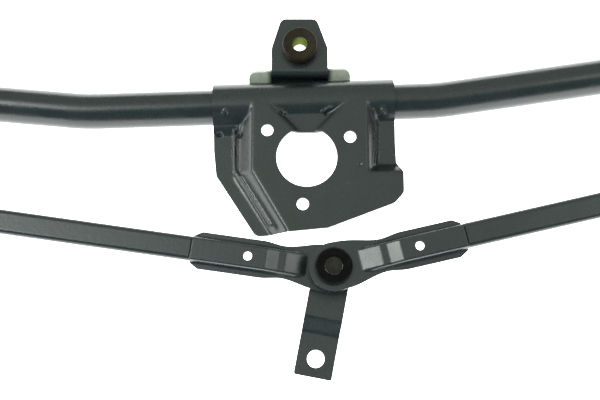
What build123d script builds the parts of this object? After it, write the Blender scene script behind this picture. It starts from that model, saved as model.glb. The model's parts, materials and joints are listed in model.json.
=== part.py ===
from build123d import *
import os
from math import atan2, cos, degrees, radians, sin, tan

# Windshield wiper linkage, millimetres. The origin is the motor shaft's axis on the motor's seating
# face; +X runs along the linkage, +Y from the rods to the tube, +Z away from the motor.

SIDES = ("left", "right")

# ---- carrier tube ----
tube_radius = 11.0
tube_wall = 1.5
tube_y = 36.2  # the tube's axis over the motor shaft's axis, at x = 0
tube_angle = 1.9  # slope of the middle run; each end run aims at its spindle
bend_x = {"left": -135.0, "right": 80.0}
bend_radius = 150.0

# ---- motor bracket, one pressing ----
sheet = 2.2
saddle_gap = 1.0  # between the tube and the saddle, taken up by clinched pips
saddle_end_rise = 0.8  # the saddle stops this far above the tube's widest line
strip_depth = 8.0
pocket_depth = 3.0
left_wall_lean = 45.0  # degrees off upright, of the left strip's and the pocket's walls
right_wall_lean = 37.0
left_wall_x = -32.7
left_wall_turn_y = -8.0  # the left wall turns here and runs slantwise to the wall foot
left_wall_foot = (6.7, -75.0)
right_wall_x = 36.3
right_wall_end_y = -9.0
pocket_base_y = 12.2
pocket_base_half = 4.0
pocket_spread = (30.0, 27.8)  # the pocket's sides run out this far, across and up
motor_opening_radius = 18.0
opening_flat_y = 15.6
bolt_circle = 57.0
bolt_count = 3
bolt_hole_radius = 3.6
bolt_start_angle = 25.3
pip_radius = 1.5
pip_fit = 0.02
bracket_outline = [
    (-57.6, 62.0),
    (-55.6, 4.9),
    (-54.0, -10.0),
    (-30.0, -46.6),
    (12.5, -42.4),
    (51.5, -27.6),
    (57.0, -21.5),
    (57.0, -9.0),
    (53.6, -1.5),
    (53.2, 10.0),
    (53.2, 62.0),
]
outline_rounds = {3: 5.0, 5: 6.0, 6: 4.0, 7: 4.0}  # corner's number and its radius
top_pips = [(-51.0, 12.0), (-15.5, 12.0), (11.0, 12.0), (45.0, 12.0)]  # along the tube, round the tube
front_pips = [(-48.5, 122.0), (45.6, 122.0)]

# ---- mounting ear ----
ear_sheet = 2.4
ear_face_z = -4.0
ear_top_y = 88.8
ear_half_width = 17.2
ear_top_span = (-11.4, 10.4)  # the top edge's ends, from the ear's middle
ear_centre_x = -4.2
ear_shoulder_y = 70.0
ear_top_round = 4.0
ear_shoulder_round = 10.0
ear_leg_gap = 1.4  # between the saddle's outside and the ear's leg
wing_slope = 53.0  # degrees over level
cradle_fit = 0.05
wing_span = (-34.8, 27.4)
wing_top_y = 57.3
wing_round = 5.0

# ---- fixings with a rubber bush and a sleeve ----
fixing_hole_radius = 4.3
sleeve_wall = 1.2
bush_body_radius = 8.0
bush_flange_radius = 10.5
bush_round = 0.8
ear_bush_front = 8.6
ear_bush_back = 3.2
ear_bush_y = 69.8
sleeve_proud = 0.2

# ---- ball joints ----
ball_radius = 6.5
ball_flat = 4.2  # the flat on the ball over its centre
ball_clearance = 0.08
socket_wall = 1.9
socket_flange = 1.6
socket_height = 5.2  # each way from the ball's centre
socket_snap = 1.0  # the socket's lip under the rod's eye
socket_lead = (1.2, 1.4)  # its tapered mouth, across and up
socket_chamfer = 0.8
mouth_share = 0.8  # the socket's mouth over the ball's size
stud_neck = 3.4
stud_shank = 4.0
stud_collar = 5.0
collar_height = 2.2
stud_lift = 9.0  # the ball's centre over the arm that it is riveted in
ball_pitch = 12.5  # between the two balls of the crank's stud
rivet_head_radius = 6.0
rivet_head_height = 1.6
rivet_head_round = 1.0

# ---- crank arm ----
crank_sheet = 4.0
crank_throw = 49.2
crank_angle = -100.8
crank_width = 21.4
crank_end = 10.3  # from the motor shaft's hole to the arm's square end
crank_corner = 1.0
crank_hole_radius = 4.9
crank_hub_z = 5.0
crank_joggle = 6.0
joggle_start = 27.0
joggle_end = 35.0
joggle_round = 2.2

# ---- drive rods ----
ball_x = 14.0
ball_y = -69.2
rod_length = {"left": 330.0, "right": 363.0}
rod_angle = {"left": 171.9, "right": 12.9}
rod_end_length = {"left": 79.0, "right": 73.0}
rod_width = 13.5
rod_height = 7.5
rod_wall = 1.2
rod_corner = 2.6
rod_end_sheet = 2.0
eye_radius = 13.1
eye_draw_in = (14.0, 1.5)  # the eye's outline is this much narrower this far out
neck_x = 28.5
neck_half = 9.0
flange_x = 40.0
flange_half = 10.35
flange_chamfer = (5.0, 3.0)  # along and across
nose_gap = 4.6  # from the socket's rim to the foot of the nose
nose_run = 11.8
step_run = 3.6
rise_run = 7.0
crown_step = 3.2
crown_height = 5.5
crown_wall = 1.5
crown_round = 1.4
hollow_lag = (3.6, 0.6)  # the hollow starts this much later than the nose, then than the crown
tooling_hole_radius = 2.4
tooling_hole_x = 47.0
spigot_fit = 0.05
spigot_root = 8.0
spigot_reach = 18.0
spigot_side = 1.6  # width of each side wall of the spigot

# ---- levers ----
lever_radius = 70.0
lever_sheet = 4.0
lever_big_end = 13.0
lever_small_end = 10.6
lever_edge = 0.8

# ---- spindles and their housings ----
spindle_radius = 6.0
spindle_clearance = 0.04
spindle_shoulder = 1.0  # the riveted top is this much thinner than the spindle
spindle_head = (1.5, 0.5, 1.4)  # the head's lower and upper overhang, and its height
bush_wall = 2.0
bush_length = 12.0
housing_wall = 5.0
housing_bottom = -46.0
housing_below_lever = 2.8
housing_chamfer = 1.2
relief = 0.6
shoulder_step = 2.0
shoulder_reach = 22.0
tube_overlap = 24.0
tube_fit = 0.05
cone_gap = 3.0
cone_length = 10.0
cone_small_radius = 5.0
thread_radius = 4.0
thread_length = 14.0
tip_chamfer = 0.8
washer_sheet = 1.0
washer_rim = 4.0
clip_sheet = 1.2
clip_rim = 2.6
clip_gap = 5.0
clip_fit = 0.02
groove_depth = 0.7
axial_play = 0.1
seal_section = 1.2
seal_room = 0.7  # between the spindle and the seal
lug_offset = {"left": (-38.0, -12.0), "right": (38.0, -8.0)}
lug_sheet = 8.0
lug_radius = 13.0
lug_top = -6.0
lug_flange = 3.4  # the grommet's flange each side of the lug
rib_half = 2.5
rib_reach = 26.0
rib_start = 8.0  # the rib's foot over the housing's bottom

# ---- worked out from the sizes above ----
saddle_inner = tube_radius + saddle_gap
saddle_outer = saddle_inner + sheet
tube_z = -saddle_inner  # the plate's back face touches the saddle's inner radius
crank_top_z = crank_hub_z + crank_joggle + crank_sheet
eye_z = {"left": crank_top_z + stud_lift, "right": crank_top_z + stud_lift + ball_pitch}
lever_z = {side: eye_z[side] - stud_lift - lever_sheet for side in SIDES}
housing_top = {side: lever_z[side] - housing_below_lever for side in SIDES}
bush_bore = spindle_radius + spindle_clearance
bush_outer = bush_bore + bush_wall
barrel_radius = bush_outer + housing_wall
clip_top = housing_bottom - washer_sheet - 2 * axial_play
sleeve_outer = fixing_hole_radius + sleeve_wall
socket_body = ball_radius + socket_wall
socket_rim = socket_body + socket_flange
cut_through = 200.0  # longer than anything that a cut has to pass through


def heading(angle):
    """Unit direction in the plan for an angle in degrees."""
    return Vector(cos(radians(angle)), sin(radians(angle)), 0)


def tube_height(x):
    """Y of the tube's axis on its straight middle run."""
    return tube_y + x * tan(radians(tube_angle))


ball_point = Vector(ball_x, ball_y, 0)
outer_ball = {s: ball_point + heading(rod_angle[s]) * rod_length[s] for s in SIDES}
spindle = {s: outer_ball[s] + Vector(0, lever_radius, 0) for s in SIDES}
bend = {s: Vector(bend_x[s], tube_height(bend_x[s]), tube_z) for s in SIDES}
spigot_foot = {s: Vector(spindle[s].X, spindle[s].Y, tube_z) for s in SIDES}
run = {s: (spigot_foot[s] - bend[s]).normalized() for s in SIDES}
lug_centre = {s: spindle[s] + Vector(*lug_offset[s], 0) for s in SIDES}


def section_plane(x, y, z, angle):
    """Upright plane across a run at this angle: its x is across the run and its y is up."""
    direction = heading(angle)
    across = Vector(-direction.Y, direction.X, 0)
    return Plane(origin=(x, y, z), x_dir=across, z_dir=direction)


def side_plane(x, y, z, angle):
    """Upright plane along a run at this angle: its x is along the run and its y is up."""
    direction = heading(angle)
    return Plane(origin=(x, y, z), x_dir=direction, z_dir=Vector(direction.Y, -direction.X, 0))


def plan_plane(x, y, z, angle):
    """Level plane whose x points along this angle."""
    return Plane(origin=(x, y, z), x_dir=heading(angle), z_dir=(0, 0, 1))


def write(part, name):
    """Labels a finished piece and writes it as one STEP file."""
    part.label = name
    export_step(part, f"parts/{name}.step")


# ---- carrier tube ----


def carrier_tube():
    """Round tube swept along its three runs and two bends."""
    ends = {s: spigot_foot[s] - run[s] * shoulder_reach for s in SIDES}
    with BuildPart() as tube:
        with BuildLine() as axis:
            FilletPolyline(ends["left"], bend["left"], bend["right"], ends["right"], radius=bend_radius)
        with BuildSketch(Plane(origin=ends["left"], z_dir=-run["left"])):
            Circle(tube_radius)
            Circle(tube_radius - tube_wall, mode=Mode.SUBTRACT)
        sweep(path=axis.wires()[0])
    return tube.part


# ---- motor bracket ----

saddle_plane = section_plane(0, tube_y, tube_z, tube_angle)
blank_drop = 100.0  # the blank reaches this far below the tube's axis
blank_half = 70.0
blank_floor = 24.0
blank_side = 90.0  # beyond the blank's edges


def sunk_area(outline, top_z, depth, lean):
    """Sunk area with sloping walls, cut down from the plate's top."""
    with BuildPart() as cut:
        with BuildSketch(Plane.XY.offset(top_z)):
            Polygon(*outline, align=None)
        extrude(amount=-depth, taper=lean)
    return cut.part


def sunk_areas(top_z, grow):
    """The side strips and the middle pocket; grow moves each wall out by the sheet's thickness."""
    left = grow * tan(radians(left_wall_lean / 2))
    right = grow * tan(radians(right_wall_lean / 2))
    wall_x = left_wall_x + left
    foot_x, foot_y = left_wall_foot
    left_strip = [
        (-blank_side, blank_side),
        (-blank_side, foot_y),
        (foot_x + left, foot_y),
        (wall_x, left_wall_turn_y + left / 2),
        (wall_x, blank_side),
    ]
    edge_x = right_wall_x - right
    edge_y = right_wall_end_y - right
    right_strip = [(edge_x, edge_y), (blank_side, edge_y), (blank_side, blank_side), (edge_x, blank_side)]
    base_y = pocket_base_y - left
    base_half = pocket_base_half + left
    top_half = pocket_spread[0] + left
    top_y = pocket_base_y + pocket_spread[1]
    pocket = [(-base_half, base_y), (base_half, base_y), (top_half, top_y), (-top_half, top_y)]
    return [
        sunk_area(left_strip, top_z, strip_depth, left_wall_lean),
        sunk_area(right_strip, top_z, strip_depth, right_wall_lean),
        sunk_area(pocket, top_z, pocket_depth, left_wall_lean),
    ]


def pressed_envelope(radius, areas):
    """All that lies under one face of the pressing: the saddle's round and the plate's blank."""
    with BuildPart() as envelope:
        with BuildSketch(saddle_plane):
            with Locations((-blank_drop / 2, (radius - blank_floor) / 2)):
                Rectangle(blank_drop, radius + blank_floor)
        extrude(amount=blank_half, both=True)
        for area in areas:
            add(area, mode=Mode.SUBTRACT)
        with BuildSketch(saddle_plane):
            Circle(radius)
        extrude(amount=blank_half, both=True)
    return envelope.part


def pip_plane(x, angle):
    """Start of a clinched pip on the tube, at this place along the tube and around it."""
    lean = radians(angle)
    across = section_plane(x, tube_height(x), tube_z, tube_angle)
    outward = across.x_dir * cos(lean) + Vector(0, 0, sin(lean))
    return Plane(origin=across.origin + outward * (tube_radius + pip_fit), z_dir=outward)


def motor_bracket():
    """Saddle and motor plate pressed from one sheet."""
    face = pressed_envelope(saddle_outer, sunk_areas(tube_z + saddle_outer, 0.0))
    back = pressed_envelope(saddle_inner, sunk_areas(tube_z + saddle_inner, sheet))
    with BuildPart() as bracket:
        add(face)
        add(back, mode=Mode.SUBTRACT)
        with BuildSketch(Plane.XY.offset(tube_z - blank_floor)):
            with BuildLine():
                Polyline(*bracket_outline, close=True)
            make_face()
            for index, radius in outline_rounds.items():
                corner = Vector(*bracket_outline[index])
                fillet(min(vertices(), key=lambda v: (Vector(v.X, v.Y) - corner).length), radius)
        extrude(amount=cut_through, mode=Mode.INTERSECT)
        with BuildSketch(saddle_plane):
            with Locations((blank_drop / 2, saddle_end_rise - cut_through / 2)):
                Rectangle(blank_drop, cut_through)
            with Locations((-saddle_inner, -saddle_inner - cut_through / 2)):
                Rectangle(blank_drop, cut_through)
        extrude(amount=blank_half, both=True, mode=Mode.SUBTRACT)
        with BuildSketch(Plane.XY.offset(tube_z)):
            Circle(motor_opening_radius)
            with Locations((0, opening_flat_y - motor_opening_radius)):
                Rectangle(2 * motor_opening_radius, 2 * motor_opening_radius, mode=Mode.INTERSECT)
        extrude(amount=cut_through, mode=Mode.SUBTRACT)
        with BuildSketch(Plane.XY.offset(tube_z)):
            with PolarLocations(bolt_circle / 2, bolt_count, start_angle=bolt_start_angle):
                Circle(bolt_hole_radius)
        extrude(amount=cut_through, mode=Mode.SUBTRACT)
        for x, angle in top_pips + front_pips:
            with BuildSketch(pip_plane(x, angle)):
                Circle(pip_radius)
            extrude(amount=saddle_gap + sheet / 2)
    return bracket.part


# ---- mounting ear ----

cradle_inner = tube_radius + cradle_fit
cradle_outer = cradle_inner + sheet
cradle_side = sin(radians(wing_slope))  # where the wing leaves the cradle's round: across and down
cradle_drop = cos(radians(wing_slope))


def ear_cradle_and_wings():
    """Strip bent round the back of the tube, with its two wings rising aslant behind it."""
    run_up = (wing_top_y - tube_y - cradle_outer * cradle_side) / cradle_drop
    top_shift = Vector(run_up * cradle_drop, run_up * cradle_side)
    foot_in = Vector(cradle_inner * cradle_side, -cradle_inner * cradle_drop)
    foot_out = Vector(cradle_outer * cradle_side, -cradle_outer * cradle_drop)
    middle = (wing_span[0] + wing_span[1]) / 2
    length = wing_span[1] - wing_span[0]
    wedge = cradle_outer * 4
    with BuildPart() as cradle:
        with BuildSketch(section_plane(middle, tube_height(middle), tube_z, tube_angle)):
            Circle(cradle_outer)
            Circle(cradle_inner, mode=Mode.SUBTRACT)
            with BuildLine():
                side_ray = (wedge * cradle_side, -wedge * cradle_drop)
                Polyline((0, 0), side_ray, (wedge, -wedge), (-wedge, -wedge), close=True)
            make_face(mode=Mode.INTERSECT)
            with BuildLine():
                Polyline(foot_in, foot_out, foot_out + top_shift, foot_in + top_shift, close=True)
            make_face()
        extrude(amount=length / 2, both=True)
        upright = cradle.edges().filter_by(lambda e: abs(e.length - sheet) < pip_fit)
        fillet(upright.sort_by(Axis.Y)[-2:], wing_round)
    return cradle.part


def mounting_ear():
    """Ear for the body fixing: the cradle with its wings, a leg and a flat eye plate."""
    level = ear_face_z - tube_z
    leg = saddle_outer + ear_leg_gap
    left_x = ear_centre_x - ear_half_width
    right_x = ear_centre_x + ear_half_width
    foot_y = tube_height(ear_centre_x) + leg
    wing_face = (leg - cradle_inner * cradle_side) * tan(radians(wing_slope)) - cradle_inner * cradle_drop
    leg_foot = wing_face - sheet / 2
    with BuildPart() as ear:
        add(ear_cradle_and_wings())
        with BuildSketch(section_plane(ear_centre_x, tube_height(ear_centre_x), tube_z, 0)):
            with Locations((leg + ear_sheet / 2, (level + leg_foot) / 2)):
                Rectangle(ear_sheet, level - leg_foot)
        extrude(amount=ear_half_width, both=True)
        with BuildSketch(Plane.XY.offset(ear_face_z - ear_sheet)):
            with BuildLine():
                Polyline(
                    (left_x, foot_y),
                    (left_x, ear_shoulder_y),
                    (ear_centre_x + ear_top_span[0], ear_top_y),
                    (ear_centre_x + ear_top_span[1], ear_top_y),
                    (right_x, ear_shoulder_y),
                    (right_x, foot_y),
                    close=True,
                )
            make_face()
            fillet(vertices().sort_by(Axis.Y)[-2:], ear_top_round)
            fillet(vertices().sort_by(Axis.Y)[2:4], ear_shoulder_round)
            with Locations((ear_centre_x, ear_bush_y)):
                Circle(bush_body_radius, mode=Mode.SUBTRACT)
        extrude(amount=ear_sheet)
    return ear.part


# ---- rubber bush and sleeve, in the ear and in each housing's lug ----


def fixing_bush(x, y, back, front, plate_bottom, plate_top):
    """Rubber bush with a flange on each side of its plate."""
    with BuildPart() as bush:
        with BuildSketch(Plane.XY.offset(plate_bottom)):
            with Locations((x, y)):
                Circle(bush_body_radius)
        extrude(amount=plate_top - plate_bottom)
        for start, end in ((back, plate_bottom), (plate_top, front)):
            with BuildSketch(Plane.XY.offset(start)):
                with Locations((x, y)):
                    Circle(bush_flange_radius)
            extrude(amount=end - start)
        rims = bush.edges().filter_by(GeomType.CIRCLE).sort_by(Axis.Z)
        fillet([rims[0], rims[-1]], bush_round)
        with BuildSketch(Plane.XY.offset(back)):
            with Locations((x, y)):
                Circle(sleeve_outer)
        extrude(amount=front - back, mode=Mode.SUBTRACT)
    return bush.part


def ring(x, y, bottom, height, inner_radius, outer_radius):
    """Plain flat ring: a spacer sleeve, a bearing bush or a washer."""
    with BuildPart() as flat_ring:
        with BuildSketch(Plane.XY.offset(bottom)):
            with Locations((x, y)):
                Circle(outer_radius)
                Circle(inner_radius, mode=Mode.SUBTRACT)
        extrude(amount=height)
    return flat_ring.part


def fixing_sleeve(x, y, back, front):
    """Steel spacer sleeve, a little longer than its bush."""
    return ring(x, y, back - sleeve_proud, front - back + 2 * sleeve_proud, fixing_hole_radius, sleeve_outer)


# ---- ball joints ----


def revolved(x, y, z, profile):
    """Turned piece: a closed profile of (radius, height) points about an upright axis."""
    with BuildPart() as turned:
        with BuildSketch(Plane(origin=(x, y, z), x_dir=(1, 0, 0), z_dir=(0, -1, 0))):
            with BuildLine():
                Polyline(*profile, close=True)
            make_face()
        revolve(axis=Axis((x, y, z), (0, 0, 1)))
    return turned.part


def ball_socket(x, y, z):
    """Plastic socket: it snaps into the rod's eye and holds the ball."""
    half_sheet = rod_end_sheet / 2
    lip = socket_body + socket_snap
    shell = revolved(
        x,
        y,
        z,
        [
            (0, -socket_height),
            (lip - socket_lead[0], -socket_height),
            (lip, -socket_height + socket_lead[1]),
            (lip, -half_sheet),
            (socket_body, -half_sheet),
            (socket_body, half_sheet),
            (socket_rim, half_sheet),
            (socket_rim, socket_height - socket_chamfer),
            (socket_rim - socket_chamfer, socket_height),
            (0, socket_height),
        ],
    )
    with BuildPart() as socket:
        add(shell)
        with Locations((x, y, z)):
            Sphere(ball_radius + ball_clearance, mode=Mode.SUBTRACT)
        with BuildSketch(Plane.XY.offset(z - socket_height)):
            with Locations((x, y)):
                Circle(ball_radius * mouth_share)
        extrude(amount=2 * socket_height, mode=Mode.SUBTRACT)
    return socket.part


def ball_stud(x, y, arm_z, arm_sheet, centres):
    """Ball stud riveted in an arm, with one or two balls."""
    arm_top = arm_z + arm_sheet
    steps = [
        (arm_z - rivet_head_height, rivet_head_radius, arm_z),
        (arm_z, stud_shank, arm_top),
        (arm_top, stud_collar, arm_top + collar_height),
        (arm_top + collar_height, stud_neck, centres[-1]),
    ]
    with BuildPart() as stud:
        for bottom, radius, top in steps:
            with BuildSketch(Plane.XY.offset(bottom)):
                with Locations((x, y)):
                    Circle(radius)
            extrude(amount=top - bottom)
        for centre in centres:
            with Locations((x, y, centre)):
                Sphere(ball_radius)
        with BuildSketch(Plane.XY.offset(centres[-1] + ball_flat)):
            with Locations((x, y)):
                Circle(2 * ball_radius)
        extrude(amount=ball_radius, mode=Mode.SUBTRACT)
        fillet(stud.edges().filter_by(GeomType.CIRCLE).sort_by(Axis.Z)[0], rivet_head_round)
    return stud.part


# ---- crank arm ----


def crank_arm():
    """Flat arm with a joggle: the motor's hole at one end, the ball stud at the other."""
    reach = crank_throw + crank_end
    step_z = crank_hub_z + crank_joggle
    along = heading(crank_angle)
    with BuildPart() as crank:
        with BuildSketch(side_plane(ball_x, ball_y, 0, crank_angle)):
            with BuildLine():
                Polyline(
                    (-crank_width / 2, step_z),
                    (joggle_start, step_z),
                    (joggle_end, crank_hub_z),
                    (reach, crank_hub_z),
                    (reach, crank_hub_z + crank_sheet),
                    (joggle_end, crank_hub_z + crank_sheet),
                    (joggle_start, step_z + crank_sheet),
                    (-crank_width / 2, step_z + crank_sheet),
                    close=True,
                )
            make_face()
        extrude(amount=crank_width / 2, both=True)
        across = crank.edges().filter_by(lambda e: abs(e.length - crank_width) < pip_fit)
        fillet(across.sort_by(Axis(ball_point, along))[2:6], joggle_round)
        with BuildSketch(plan_plane(ball_x, ball_y, 0, crank_angle)):
            Circle(crank_width / 2)
            with Locations((reach / 2, 0)):
                Rectangle(reach, crank_width)
            fillet(vertices().sort_by(Axis(ball_point, along))[-2:], crank_corner)
        extrude(amount=cut_through, mode=Mode.INTERSECT)
        with BuildSketch(plan_plane(ball_x, ball_y, 0, crank_angle)):
            Circle(stud_shank)
            with Locations((crank_throw, 0)):
                Circle(crank_hole_radius)
        extrude(amount=cut_through, mode=Mode.SUBTRACT)
    return crank.part


# ---- drive rods ----


def rod_tube(side):
    """Flat-oval tube between the rod's two pressed ends."""
    angle = rod_angle[side]
    start = ball_point + heading(angle) * rod_end_length[side]
    middle_z = eye_z[side] + rod_end_sheet / 2 + crown_height - rod_height / 2
    hollow = (rod_width - 2 * rod_wall, rod_height - 2 * rod_wall)
    with BuildPart() as tube:
        with BuildSketch(section_plane(start.X, start.Y, middle_z, angle)):
            RectangleRounded(rod_width, rod_height, rod_corner)
            RectangleRounded(*hollow, rod_corner - rod_wall, mode=Mode.SUBTRACT)
        extrude(amount=rod_length[side] - 2 * rod_end_length[side])
    return tube.part


def rod_end(x, y, z, angle, length):
    """Pressed rod end: eye, neck and flanges in one sheet, with a crown and a spigot for the tube."""
    half = rod_end_sheet / 2
    crown_top = half + crown_height
    step_z = half + crown_step
    nose_start = socket_rim + nose_gap
    nose_end = nose_start + nose_run
    step_end = nose_end + step_run
    full = step_end + rise_run
    nose_lag, crown_lag = hollow_lag
    draw_x = eye_draw_in[0]
    draw_half = eye_radius - eye_draw_in[1]
    cut_x = length - flange_chamfer[0]
    cut_half = flange_half - flange_chamfer[1]
    spigot_half = rod_width / 2 - rod_wall - spigot_fit
    spigot_top = crown_top - rod_wall - spigot_fit
    spigot_bottom = crown_top - rod_height + rod_wall + spigot_fit
    hollow_half = rod_width / 2 - crown_wall
    flat = plan_plane(x, y, z - half, angle)
    upright = side_plane(x, y, z, angle)
    along = heading(angle)
    with BuildPart() as end:
        with BuildSketch(flat):
            with BuildLine():
                waist = [(0, eye_radius), (draw_x, draw_half), (neck_x, neck_half), (flange_x, flange_half)]
                Spline(*waist, tangents=[(1, 0), (1, 0)])
                Polyline((flange_x, flange_half), (cut_x, flange_half), (length, cut_half), (length, 0))
                Polyline((length, 0), (length, -cut_half), (cut_x, -flange_half), (flange_x, -flange_half))
                Spline(*[(px, -py) for px, py in reversed(waist)], tangents=[(-1, 0), (-1, 0)])
                ThreePointArc((0, -eye_radius), (-eye_radius, 0), (0, eye_radius))
            make_face()
        extrude(amount=rod_end_sheet)
        with BuildSketch(upright):
            with BuildLine():
                Polyline(
                    (nose_start, half),
                    (nose_end, step_z),
                    (step_end, step_z),
                    (full, crown_top),
                    (length, crown_top),
                    (length, 0),
                    (nose_start, 0),
                    close=True,
                )
            make_face()
        extrude(amount=rod_width / 2, both=True)
        sideways = heading(angle + 90)
        edge = 0.9 * rod_width / 2
        aside = end.edges().filter_by(lambda e: abs((e.center() - Vector(x, y, 0)).dot(sideways)) > edge)
        raised = aside.filter_by(lambda e: e.center().Z > z + half + 0.1 * crown_height)
        fillet(raised.filter_by(lambda e: abs((e @ 1 - e @ 0).normalized().dot(along)) > 0.5), crown_round)
        with BuildSketch(upright):
            with BuildLine():
                Polyline(
                    (nose_start + nose_lag, -half),
                    (nose_end + crown_lag, step_z - crown_wall),
                    (step_end + crown_lag, step_z - crown_wall),
                    (full + crown_lag, crown_top - crown_wall),
                    (length, crown_top - crown_wall),
                    (length, -half),
                    close=True,
                )
            make_face()
        extrude(amount=hollow_half, both=True, mode=Mode.SUBTRACT)
        with BuildSketch(section_plane(x, y, z, angle).offset(length - spigot_root)):
            with Locations((0, (spigot_top + spigot_bottom) / 2)):
                RectangleRounded(2 * spigot_half, spigot_top - spigot_bottom, rod_corner - rod_wall)
            with Locations((0, spigot_bottom)):
                open_height = 2 * (spigot_top - spigot_bottom - crown_wall)
                Rectangle(2 * (spigot_half - spigot_side), open_height, mode=Mode.SUBTRACT)
        extrude(amount=spigot_reach + spigot_root)
        with BuildSketch(flat):
            Circle(socket_body)
            with Locations((tooling_hole_x, 0)):
                Circle(tooling_hole_radius)
        extrude(amount=cut_through, mode=Mode.SUBTRACT)
    return end.part


# ---- levers, spindles and housings ----


def lever(side):
    """Tapered flat lever, riveted on the spindle's shouldered top."""
    foot = spindle[side]
    tip = outer_ball[side]
    with BuildPart() as arm:
        with BuildSketch(Plane.XY.offset(lever_z[side])):
            with Locations((foot.X, foot.Y)):
                Circle(lever_big_end)
            with Locations((tip.X, tip.Y)):
                Circle(lever_small_end)
            make_hull()
            with Locations((foot.X, foot.Y)):
                Circle(spindle_radius - spindle_shoulder, mode=Mode.SUBTRACT)
            with Locations((tip.X, tip.Y)):
                Circle(stud_shank, mode=Mode.SUBTRACT)
        extrude(amount=lever_sheet)
        fillet(arm.faces().sort_by(Axis.Z)[-1].outer_wire().edges(), lever_edge)
    return arm.part


def spindle_shaft(side):
    """Wiper shaft: riveted head, shoulder, bearing length, circlip groove, cone and thread."""
    cone_top = clip_top - clip_sheet - cone_gap
    thread_top = cone_top - cone_length
    tip = thread_top - thread_length
    groove = spindle_radius - groove_depth
    low = lever_z[side]
    high = low + lever_sheet
    head_low, head_high, head_height = spindle_head
    profile = [
        (0, tip),
        (thread_radius - tip_chamfer, tip),
        (thread_radius, tip + tip_chamfer),
        (thread_radius, thread_top),
        (cone_small_radius, thread_top),
        (spindle_radius, cone_top),
        (spindle_radius, clip_top - clip_sheet),
        (groove, clip_top - clip_sheet),
        (groove, clip_top),
        (spindle_radius, clip_top),
        (spindle_radius, low),
        (spindle_radius - spindle_shoulder, low),
        (spindle_radius - spindle_shoulder, high),
        (spindle_radius + head_low, high),
        (spindle_radius + head_high, high + head_height),
        (0, high + head_height),
    ]
    return revolved(spindle[side].X, spindle[side].Y, 0, profile)


def circlip(side):
    """Open spring clip in the spindle's groove."""
    foot = spindle[side]
    outer = spindle_radius + clip_rim
    with BuildPart() as clip:
        with BuildSketch(Plane.XY.offset(clip_top - clip_sheet + clip_fit)):
            with Locations((foot.X, foot.Y)):
                Circle(outer)
                Circle(spindle_radius - groove_depth + clip_fit, mode=Mode.SUBTRACT)
            with Locations((foot.X, foot.Y - outer)):
                Rectangle(clip_gap, 2 * (outer - 1), mode=Mode.SUBTRACT)
        extrude(amount=clip_sheet - 2 * clip_fit)
    return clip.part


def seal_ring(side):
    """Rubber O-ring on the housing's mouth, round the spindle."""
    foot = spindle[side]
    centre_x = foot.X + spindle_radius + seal_room + seal_section
    with BuildPart() as seal:
        with BuildSketch(Plane.XZ.offset(-foot.Y)):
            with Locations((centre_x, housing_top[side] + seal_section)):
                Circle(seal_section)
        revolve(axis=Axis((foot.X, foot.Y, 0), (0, 0, 1)))
    return seal.part


def spindle_housing(side):
    """Die-cast housing: bored barrel, tube spigot and fixing lug with its rib."""
    foot = spindle[side]
    lug = lug_centre[side]
    lug_way = lug - foot
    lug_angle = degrees(atan2(lug_way.Y, lug_way.X))
    height = housing_top[side] - housing_bottom
    toward_tube = Plane(origin=spigot_foot[side], z_dir=-run[side])
    with BuildPart() as housing:
        with BuildSketch(Plane.XY.offset(housing_bottom)):
            with Locations((foot.X, foot.Y)):
                Circle(barrel_radius)
        extrude(amount=height)
        chamfer(housing.edges(), housing_chamfer)
        with BuildSketch(toward_tube):
            Circle(tube_radius + shoulder_step)
        extrude(amount=shoulder_reach)
        with BuildSketch(toward_tube):
            Circle(tube_radius - tube_wall - tube_fit)
        extrude(amount=shoulder_reach + tube_overlap)
        with BuildSketch(Plane.XY.offset(lug_top - lug_sheet)):
            with Locations((foot.X, foot.Y)):
                Circle(bush_outer + housing_wall / 2)
            with Locations((lug.X, lug.Y)):
                Circle(lug_radius)
            make_hull()
        extrude(amount=lug_sheet)
        with BuildSketch(side_plane(foot.X, foot.Y, 0, lug_angle)):
            with BuildLine():
                rib_foot = (0, housing_bottom + rib_start)
                Polyline(rib_foot, (0, lug_top), (rib_reach, lug_top - lug_sheet), close=True)
            make_face()
        extrude(amount=rib_half, both=True)
        with BuildSketch(Plane.XY.offset(housing_bottom)):
            with Locations((foot.X, foot.Y)):
                Circle(bush_outer)
        extrude(amount=height, mode=Mode.SUBTRACT)
        with BuildSketch(Plane.XY.offset(housing_bottom + bush_length)):
            with Locations((foot.X, foot.Y)):
                Circle(bush_outer + relief)
        extrude(amount=height - 2 * bush_length, mode=Mode.SUBTRACT)
        with BuildSketch(Plane.XY.offset(lug_top - lug_sheet)):
            with Locations((lug.X, lug.Y)):
                Circle(bush_body_radius)
        extrude(amount=lug_sheet, mode=Mode.SUBTRACT)
    return housing.part


os.makedirs("parts", exist_ok=True)

write(carrier_tube(), "carrier_tube")
write(motor_bracket(), "motor_bracket")
write(mounting_ear(), "mounting_ear")

ear_back_z = ear_face_z - ear_sheet
ear_bush_ends = (ear_back_z - ear_bush_back, ear_face_z + ear_bush_front)
write(fixing_bush(ear_centre_x, ear_bush_y, *ear_bush_ends, ear_back_z, ear_face_z), "ear_bush")
write(fixing_sleeve(ear_centre_x, ear_bush_y, *ear_bush_ends), "ear_sleeve")

write(crank_arm(), "crank_arm")
crank_balls = [eye_z["left"], eye_z["right"]]
write(ball_stud(ball_x, ball_y, crank_hub_z + crank_joggle, crank_sheet, crank_balls), "crank_ball_stud")

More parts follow.
